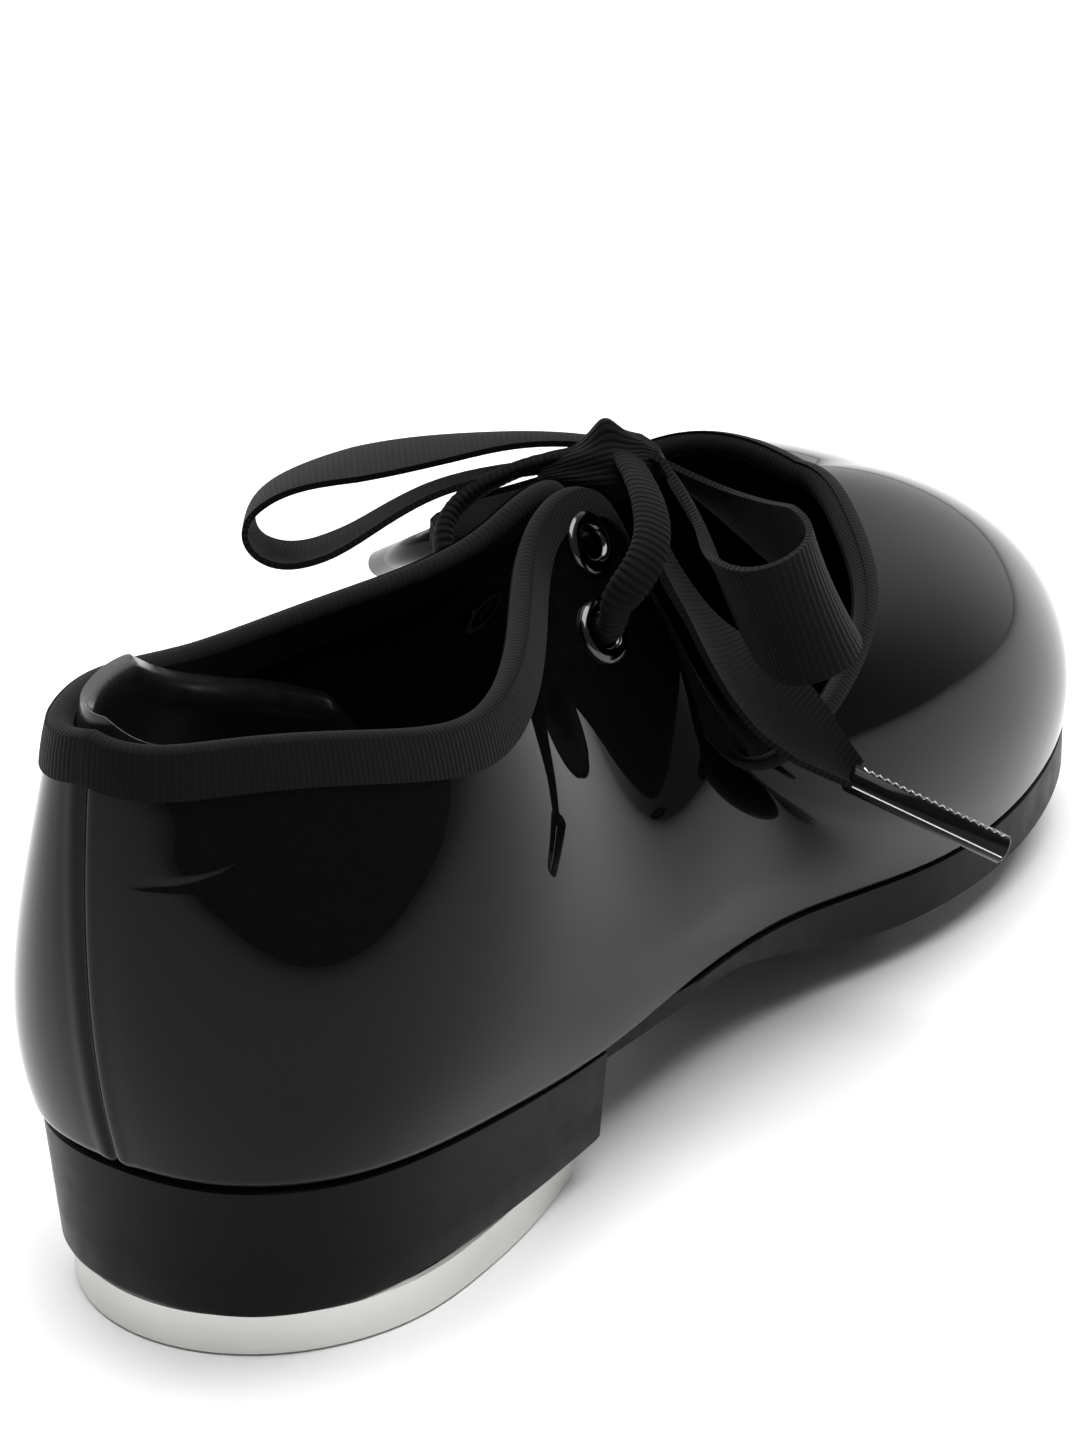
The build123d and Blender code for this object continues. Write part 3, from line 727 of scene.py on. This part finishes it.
# the line of the sole's top, as (y, z), and how far the sole lies under it
SOLE_LINE = [(-36, 23.7), (-28.6, 23.3), (-9, 22.1), (8, 20.5), (22, 18.9), (35, 18), (46, 17.6),
             (57, 17.2), (68, 16.6), (80, 15.4), (93, 14.1), (109, 13.3), (126, 13.5), (145, 14.9),
             (163, 16.9), (178, 19.1), (190, 21)]
SOLE_GAP = 0.05
SOLE_THICK = [(-36, 4), (22, 3.4), (57, 2.2), (71, 2.8), (190, 2.8)]     # (y, thickness)
STEP_START, STEP_END = 62, 104       # the sole thickens into the forefoot sole between these
EDGE_RADIUS, EDGE_CENTRE = 0.6, 0.5  # of the sole's rounded edge, and how far in it is centred
FLAT = 5.0                           # inset of the rings that close a face


def sole_top(y):
    """The height of the sole's top face at each y."""
    line = spline(SOLE_LINE, np.linspace(0, 1, 400))
    return np.interp(y, line[:, 0], line[:, 1]) - SOLE_GAP


def tread_z(y):
    """How far the toe end of the tread springs up from the floor."""
    share = np.clip(np.asarray(y, float) - TREAD_START, 0, None) / (TOE_END - TREAD_START)
    return TOE_SPRING * share ** 2


def sole_bottom(y):
    """The height of its underside: a thin waist that thickens into the forefoot sole."""
    thin = sole_top(y) - np.interp(y, *zip(*SOLE_THICK))
    thick = TAP_THICK + TOE_BOARD + tread_z(y)
    share = smooth_step(y, STEP_START, STEP_END)
    return thin * (1 - share) + thick * share


def outline(turns, inset):
    """The sole's outline, moved in by `inset`."""
    edge, normal = wall(turns, 0.0), outward(turns, 0.0)
    normal[:, 2] = 0
    return edge - (inset * np.ones(len(edge)))[:, None] * unit(normal)


def slab_piece(name, turns, rings, heel_tuck=0.0):
    """A slab with a ring of points for each (inset, share, height function). The ring lies
    `inset` inside the sole's outline, and is drawn `share` of the way to the centre line."""
    loops = []
    place = outline(turns, 0.0)[:, 1]
    tuck = heel_tuck * np.clip(1 - (place - HEEL_FRONT) / WAIST_TAPER, 0, 1)
    for inset, share, height in rings:
        edge = outline(turns, np.maximum(inset, tuck))
        middle = centre_x(edge[:, 1])
        edge[:, 0] = middle + (edge[:, 0] - middle) * (1 - share)
        edge[:, 2] = height(edge[:, 1])
        loops.append(edge)
    return tube_piece(name, np.array(loops)[::-1], close_ends=False, sharp=40)


# the heel block's half width, back and front at its foot, and those at the top of its taper
FOOT_HALF, FOOT_BACK, FOOT_FRONT = 24.6, -27.2, 31.9
TOP_HALF, TOP_BACK = 25.6, -28.6
HALF_WIDTH = 26        # of the heel and the upper over it
HEEL_INSET = 0.6
HEEL_GAP = 0.12        # clear of the sole above and of the tap below
LIP = 0.04             # the block keeps its full width over this share of its height
# each ring's share of the way down, and how far it is drawn in
HEEL_RINGS = [(0.0, 0.9), (0.02, 0.25), (LIP, 0), (0.35, 0), (0.7, 0), (0.96, 0), (1.0, 0.25)]


def heel():
    """The heel block, moulded up over the sole's edge to meet the upper."""
    edge = outline(np.linspace(-0.5, 0.5, 401), HEEL_INSET)
    edge = edge[edge[:, 1] < HEEL_FRONT]
    top_z = sole_top(edge[:, 1]) - HEEL_GAP
    foot_z = TAP_THICK + HEEL_GAP
    narrower = FOOT_HALF / TOP_HALF - 1
    shorter = (FOOT_FRONT - FOOT_BACK) / (HEEL_FRONT - TOP_BACK) - 1
    forward = (FOOT_FRONT + FOOT_BACK) / 2 - (HEEL_FRONT + TOP_BACK) / 2
    loops = []
    for share, draw_in in HEEL_RINGS:
        ring = edge.copy()
        down = max(share - LIP, 0) / (1 - LIP)
        ring[:, 0] *= 1 + narrower * down
        ring[:, 1] = ring[:, 1] * (1 + shorter * down) + forward * down
        ring[:, :2] *= 1 - draw_in / HALF_WIDTH
        ring[:, 2] = top_z * (1 - share) + foot_z * share
        loops.append(ring)
    loops = np.array(loops)
    rows, columns = loops.shape[:2]
    points = loops.reshape(-1, 3)
    faces = [face[::-1] for face in strip_faces(rows, columns)]
    # breast, top and bottom close the block
    for i in range(rows - 1):
        a, b = i * columns, (i + 1) * columns
        faces.append((a + columns - 1, b + columns - 1, b, a))
    faces.append(tuple(range(columns)))
    faces.append(tuple(range((rows - 1) * columns, rows * columns))[::-1])
    piece = new_piece("heel_block_shell", points, faces, sharp=35)
    finish(piece, HEEL_BLACK)
    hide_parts("heel_block")
    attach(piece, "rearfoot")


def sole():
    """Sole and forefoot as one moulding."""
    turns = np.linspace(0, 2, 361)[:-1]

    def half(height, inward):
        """A face and the rounded edge beside it; `inward` is 1 or -1, into the sole."""
        rings = [(FLAT, 1, height), (FLAT, 0.6, height), (1.2, 0, height)]
        for angle in np.radians([90, 60, 30, 0]):
            step = inward * EDGE_RADIUS * (1 - math.sin(angle))
            rings.append((EDGE_CENTRE - EDGE_RADIUS * math.cos(angle), 0,
                          lambda y, step=step: height(y) + step))
        return rings
    rings = half(sole_bottom, 1) + half(sole_top, -1)[::-1]
    piece = slab_piece("sole_unit", turns, rings, HEEL_TUCK)
    finish(piece, SOLE_BLACK)
    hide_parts("outsole", "forefoot_sole")
    bends(piece)


def raised_rings(rings):
    """Rings for slab_piece from (inset, share, height above the sole)."""
    return [(inset, share, lambda y, lift=lift: sole_top(y) + lift) for inset, share, lift in rings]


def insole():
    """The insole board and, on it, the glossy sock liner with its rounded edge."""
    turns = np.linspace(0, 2, 241)[:-1]
    board = slab_piece("insole_board_sheet", turns, raised_rings([
        (FLAT, 1, 0.1), (2.7, 0, 0.1), (2.7, 0, 1.2), (FLAT, 1, 1.2)]))
    finish(board, BOARD)
    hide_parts("insole_board")
    bends(board)
    liner = slab_piece("sock_liner_sheet", turns, raised_rings([
        (FLAT, 1, 1.25), (3.3, 0, 1.25), (3.0, 0, 1.7), (3.3, 0, 2.2), (FLAT, 0, 2.4),
        (FLAT, 0.55, 2.6), (FLAT, 1, 2.7)]))
    finish(liner, COATED)
    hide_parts("sock_liner")
    bends(liner)


# ---- eyelets ----
# the ring's section, closed on itself: (radius, height over the leather)
EYELET = [(2.0, -2.2), (2.0, 0.2), (2.15, 0.6), (2.6, 0.95), (3.2, 1.0), (3.8, 0.75),
          (4.15, 0.3), (4.1, 0.05), (2.35, 0.0), (2.3, -2.2)]


def eyelets():
    """The nickel rings, two on each tab."""
    for side, name in ((1, "right"), (-1, "left")):
        points, faces = [], []
        for centre, normal in eyelet_axes(side):
            rings = np.array(lathe_rings(centre, normal, EYELET))
            rows, columns = rings.shape[:2]
            first = len(points)
            points += list(rings.reshape(-1, 3))
            for i in range(rows):
                here, after = first + i * columns, first + (i + 1) % rows * columns
                for j in range(columns):
                    k = (j + 1) % columns
                    faces.append((here + j, here + k, after + k, after + j))
        piece = new_piece(f"eyelet_rings_{name}", np.array(points), faces)
        finish(piece, NICKEL)
        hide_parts(f"eyelets_{name}")
        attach(piece, "rearfoot")


# ---- ribbon ----
# a route is a spline's control points, and ACROSS is the ribbon's direction across itself
RIBBON, RIBBON_THICK = 16.5, 0.8
LEFT_LOOP = [(-3, 70.5, 78.5), (-10, 66.5, 79.5), (-18, 59.5, 78.5), (-26, 53, 77), (-33, 47, 75.5),
             (-37.5, 42.5, 72.5), (-37, 40.5, 67.5), (-32, 42.5, 64.5), (-26, 48, 67), (-21.5, 53.5, 71.5),
             (-15.5, 59.5, 74.5), (-6, 66.5, 75.5)]
LEFT_LOOP_ACROSS = [(-9.8, 13, -3.5)] * 2 + [(-10, 12, -1)] * 2 + [(-10, 13, -3)] * 8
RIGHT_LOOP = [(3, 71, 77), (11, 75, 71.5), (21, 71, 69.5), (31, 66, 70.5), (37, 61, 70), (37, 55.5, 68.5),
              (33, 53, 67), (27, 55.5, 66.5), (20, 62, 67.5), (12.5, 69, 72), (5, 72.5, 76)]
RIGHT_LOOP_ACROSS = [(-9, 12, -6), (-2, 9, -11)] + [(4, 5, -15)] * 6
RIGHT_LOOP_ACROSS += [(0, 8, -12), (-6, 11, -8), (-9, 12, -6)]
LOOP_WIDTHS = [6.5, 12, RIBBON, RIBBON, RIBBON, RIBBON, RIBBON, 12, 6.5]
RIGHT_TAIL = [(2, 69.5, 75), (4.8, 67, 70), (9.2, 65, 64.5), (15, 64.5, 59), (21.5, 64.3, 54.5),
              (27, 65.5, 49.3), (31.5, 67, 45.5), (34.7, 68.8, 42.5)]
RIGHT_TAIL_ACROSS = [(-7, 13, -4)] * 4 + [(-4, 14, 0), (-2, 14, 2), (-1, 14, 3), (-1, 14, 3)]
LEFT_TAIL = [(-6, 69, 74), (-13, 70, 70), (-18, 70, 67), (-22, 70, 64.5), (-25.5, 70, 62.5),
             (-28.5, 69.5, 60.5)]
LEFT_TAIL_ACROSS = [(-6, 9, -9)] * 6
TAIL_WIDTHS = [8, 12, RIBBON, RIBBON, RIBBON, RIBBON, 15, 11, 4.6]
KNOT_LEFT, KNOT_RIGHT = np.array((-7.5, 62.5, 75.0)), np.array((5.0, 72.0, 77.0))
LOOP_CUP, TAIL_CUP = 0.5, 1.2        # how far the ribbon's edges curl up


def ribbon_grid(route, across, widths, cup, columns=97, rows=17):
    """Middle surface of a ribbon, its normals and its cloth coordinates. `cup` curls its edges."""
    at = np.linspace(0, 1, columns)
    line, wide = spline(route, at), spline(across, at)
    ahead = unit(np.gradient(line, axis=0))
    wide = unit(wide - np.sum(wide * ahead, axis=1, keepdims=True) * ahead)
    face = np.cross(ahead, wide)
    width = np.interp(at, np.linspace(0, 1, len(widths)), widths)
    shares = np.linspace(-0.5, 0.5, rows)
    offset = shares[None, :] * width[:, None]
    curl = cup * (4 * shares ** 2)[None, :] * np.ones(columns)[:, None]
    grid = line[:, None] + offset[..., None] * wide[:, None] + curl[..., None] * face[:, None]
    along = path_lengths(line)[:, None] * np.ones(rows)
    cloth = np.stack([along, shares[None, :] * RIBBON * np.ones(columns)[:, None],
                      np.zeros_like(along)], -1)
    normal = unit(np.cross(np.gradient(grid, axis=0), np.gradient(grid, axis=1)))
    return grid, normal, cloth


def ribbon(name, route, across, widths, cup, node):
    """A piece of ribbon along a route, and that route's length."""
    grid, normal, cloth = ribbon_grid(route, across, widths, cup)
    half = RIBBON_THICK / 2
    piece = shell_piece(name, grid + half * normal, grid - half * normal, cloth=cloth)
    finish(piece, GROSGRAIN)
    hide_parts(node)
    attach(piece, "rearfoot")
    length = path_lengths(spline(route, np.linspace(0, 1, 200)))[-1]
    return piece, float(length)


def bow():
    """The two loops and the two tails, each a sheet of ribbon."""
    for name, route, across, widths, cup in (
            ("bow_loop_left", LEFT_LOOP, LEFT_LOOP_ACROSS, LOOP_WIDTHS, LOOP_CUP),
            ("bow_loop_right", RIGHT_LOOP, RIGHT_LOOP_ACROSS, LOOP_WIDTHS, LOOP_CUP),
            ("ribbon_tail_left", LEFT_TAIL, LEFT_TAIL_ACROSS, TAIL_WIDTHS, TAIL_CUP),
            ("ribbon_tail_right", RIGHT_TAIL, RIGHT_TAIL_ACROSS, TAIL_WIDTHS, TAIL_CUP)):
        piece, length = ribbon(name + "_ribbon", route, across, widths, cup, name)


STRAND = [(12.3, 50, 66.2), (14.5, 51.4, 69.5), (14.8, 55.1, 72.7), (11.6, 59.7, 75.2), (7.7, 63.2, 77.1),
          (2, 68, 78)]

# the strap's half width and half thickness along its length
STRAND_PLACES = [0, 0.2, 0.45, 0.8, 1]
STRAND_HALF_WIDTH = [1.5, 1.9, 2.4, 2.5, 2.2]
STRAND_HALF_THICK = [1.2, 1.4, 1.3, 1.1, 1.0]
STRAND_ROUND = 14      # mm of cloth round the strap


def strands():
    """Ribbon between the lower eyelets and the knot, gathered into a rounded strap."""
    angles = np.linspace(0, 2 * math.pi, 32, endpoint=False)
    # a slightly squared oval
    sideways = np.sign(np.cos(angles)) * np.abs(np.cos(angles)) ** 0.8
    at = np.linspace(0, 1, 121)
    for side, name in ((1, "right"), (-1, "left")):
        centre, normal = eyelet_axes(side)[1]
        route = [centre - 3 * normal, centre - 0.5 * normal, centre + 2.5 * normal]
        route += [np.array(point) * (side, 1, 1) for point in STRAND]
        line = spline(route, at)
        ahead = unit(np.gradient(line, axis=0))
        wide = unit(np.cross(ahead, (side * 0.8, -0.3, 0.5)))
        thick = np.cross(wide, ahead)
        along = path_lengths(line)
        rib = 1 + 0.035 * np.sin(2 * math.pi * along / STRAND_RIB)
        half_width = np.interp(at, STRAND_PLACES, STRAND_HALF_WIDTH) * rib
        half_thick = np.interp(at, STRAND_PLACES, STRAND_HALF_THICK) * rib
        rings = line[:, None] + (half_width[:, None] * sideways)[..., None] * wide[:, None]
        rings += (half_thick[:, None] * np.sin(angles))[..., None] * thick[:, None]
        around = np.linspace(0, STRAND_ROUND, len(angles))
        cloth = np.stack([*np.meshgrid(along, around, indexing="ij"), np.zeros(rings.shape[:2])], -1)
        piece = tube_piece(f"ribbon_strand_{name}_strap", rings, cloth=cloth.reshape(-1, 3))
        finish(piece, STRAND_CLOTH)
        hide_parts(f"ribbon_strand_{name}")
        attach(piece, "rearfoot")


KNOT_ALONG, KNOT_ACROSS = 26, 16     # mm of ribbon round the knot, and from end to end


def knot():
    """The knot: ribbon folded tightly over itself, with a crest at the top."""
    angles = np.linspace(0, 2 * math.pi, 72, endpoint=False)
    way = unit(KNOT_RIGHT - KNOT_LEFT)
    side = unit(np.cross((0, 0, 1.0), way))
    up = np.cross(way, side)
    rings = []
    for share in np.linspace(0, 1, 41):
        centre = KNOT_LEFT + share * (KNOT_RIGHT - KNOT_LEFT)
        high = np.interp(share, [0, 0.04, 0.25, 0.55, 0.62, 0.85, 0.97, 1],
                         [0.6, 1.8, 3.0, 4.3, 4.4, 3.4, 1.8, 0.5])
        wide = np.interp(share, [0, 0.04, 0.3, 0.6, 0.9, 1], [0.6, 2.0, 3.4, 3.8, 2.4, 0.5])
        fold = 1 + 0.06 * np.cos(3 * angles + 4 * share) + 0.04 * np.cos(7 * angles - 9 * share)
        crest = np.clip(np.sin(angles), 0, 1) ** 6 * 1.8 * hump(share - 0.58, 0.14)
        rings.append(centre + (wide * fold * np.cos(angles))[:, None] * side
                     + (high * fold * np.sin(angles) + crest)[:, None] * up)
    across, along = np.meshgrid(np.linspace(0, KNOT_ACROSS, len(rings)),
                                np.linspace(0, KNOT_ALONG, len(angles)), indexing="ij")
    cloth = np.stack([along, across, np.zeros_like(along)], -1)
    piece = tube_piece("ribbon_knot_wrap", rings, cloth=cloth.reshape(-1, 3))
    finish(piece, GROSGRAIN)
    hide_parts("ribbon_knot")
    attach(piece, "rearfoot")


# ---- aglets ----
AGLET_LENGTH, AGLET_RADIUS = 22.0, 1.85
AGLET_END, AGLET_CHAMFER = 1.6, 0.25  # the end face's radius, and its chamfer's length
AGLET_FACE = 0.9                     # a ring on each end face, which keeps the face flat
AGLET_LAP = 0.6                      # how far the sleeve reaches over the ribbon
RIGHT_AIM, LEFT_AIM = (50.5, 80.5, 32.0), (-47, 79, 50)     # the points they aim at
# the crimp is a raised zigzag line and the edge glint a raised straight one, both bright metal as painted
# highlights on the sleeve
CRIMP_ANGLE, EDGE_GLINT_ANGLE = 15, 100    # degrees round the sleeve from its top
CRIMP_HALF = 9                       # degrees to either side
CRIMP_START, CRIMP_PITCH, CRIMP_TEETH = 1.2, 0.55, 37


def aglet(name, end, aim):
    """A glossy crimped sleeve over the ribbon's end."""
    way = unit(np.array(aim, float) - np.array(end, float))
    start = np.array(end, float) - AGLET_LAP * way
    profile = [(AGLET_FACE, 0), (AGLET_END, 0.0), (AGLET_RADIUS, AGLET_CHAMFER),
               (AGLET_RADIUS, AGLET_LENGTH - AGLET_CHAMFER), (AGLET_END, AGLET_LENGTH),
               (AGLET_FACE, AGLET_LENGTH)]
    piece = tube_piece(name + "_sleeve", lathe_rings(start, way, profile, 40))
    finish(piece, AGLET)
    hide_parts(name)
    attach(piece, "rearfoot")
    first, second = square_to(way)
    up = second if second[2] > 0 else -second

    def on_sleeve(place, degrees, lift):
        """A point `place` along the sleeve, `degrees` round it and `lift` above it."""
        angle = math.radians(degrees)
        spoke = math.sin(angle) * first + math.cos(angle) * up
        return start + place * way + (AGLET_RADIUS + lift) * spoke
    # the zigzag crimp is raised; its bright colour is a painted highlight
    crimp = [on_sleeve(CRIMP_START + CRIMP_PITCH * step,
                       CRIMP_ANGLE + (CRIMP_HALF if step % 2 else -CRIMP_HALF), 0.03)
             for step in range(CRIMP_TEETH)]
    glint_line(name + "_crimp_glint", np.array(crimp), 0.15)
    # a straight bright line along one edge of the sleeve: a painted highlight
    edge_glint = [on_sleeve(share * AGLET_LENGTH, EDGE_GLINT_ANGLE, 0.02) for share in (0.02, 0.5, 0.98)]
    glint_line(name + "_edge_glint", np.array(edge_glint), 0.13)


def glint_line(name, points, radius):
    """A thin raised line in bright metal, a painted highlight on the sleeve."""
    ahead = unit(np.gradient(points, axis=0))
    side = unit(np.cross(ahead, (0.3, 0.2, 1.0)))
    up = np.cross(side, ahead)
    angles = np.linspace(0, 2 * math.pi, 8, endpoint=False)
    rings = [point + radius * (np.cos(angles)[:, None] * a + np.sin(angles)[:, None] * b)
             for point, a, b in zip(points, side, up)]
    piece = tube_piece(name, rings)
    finish(piece, GLINT_METAL)
    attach(piece, "rearfoot")


# ---- floor and light ----
def studio_world():
    """Soft light: a bright backdrop beyond the toe, darker overhead and to the right."""
    world = bpy.data.worlds.new("studio")
    world.use_nodes = True
    tree = world.node_tree
    ground = tree.nodes["Background"]
    direction = tree.nodes.new("ShaderNodeTexCoord")
    facing = tree.nodes.new("ShaderNodeVectorMath")
    facing.operation = "DOT_PRODUCT"
    facing.inputs[1].default_value = (-0.62, 0.74, 0.25)
    tree.links.new(direction.outputs["Generated"], facing.inputs[0])
    ramp = tree.nodes.new("ShaderNodeValToRGB")
    ramp.color_ramp.interpolation = "EASE"
    ramp.color_ramp.elements[0].position = 0.25
    ramp.color_ramp.elements[0].color = (0.16, 0.16, 0.16, 1)
    ramp.color_ramp.elements[1].position = 0.8
    ramp.color_ramp.elements[1].color = (0.95, 0.95, 0.95, 1)
    tree.links.new(facing.outputs["Value"], ramp.inputs["Fac"])
    tree.links.new(ramp.outputs["Color"], ground.inputs["Color"])
    ground.inputs["Strength"].default_value = 1.0
    scene.world = world


def stage():
    """The pale floor, the light round it and two lamps."""
    bpy.ops.mesh.primitive_plane_add(size=6, location=(0, 0, 0))
    floor = bpy.context.object
    floor.name = "floor"
    m = Nodes("pale floor").set(colour=(0.86, 0.86, 0.86), rough=0.6, specular=0.2)
    floor.data.materials.append(m.material)
    studio_world()
    for name, place, size, power in (("top", (0.15, 0.1, 1.6), 1.5, 46),
                                     ("left", (-1.4, 0.5, 0.9), 0.9, 10)):
        lamp = bpy.data.lights.new(name, "AREA")
        lamp.size = size
        lamp.energy = power
        light = bpy.data.objects.new(name, lamp)
        light.location = place
        towards = Vector((0, 0.07, 0.03)) - Vector(place)
        light.rotation_euler = towards.to_track_quat("-Z", "Y").to_euler()
        scene.collection.objects.link(light)
    scene.view_settings.view_transform = "Standard"


dress_cad()
heel()
upper()
lining()
heel_grip()
binding()
sole()
insole()
eyelets()
knot()
bow()
strands()
aglet("aglet_right", RIGHT_TAIL[-1], RIGHT_AIM)
aglet("aglet_left", LEFT_TAIL[-1], LEFT_AIM)
stage()
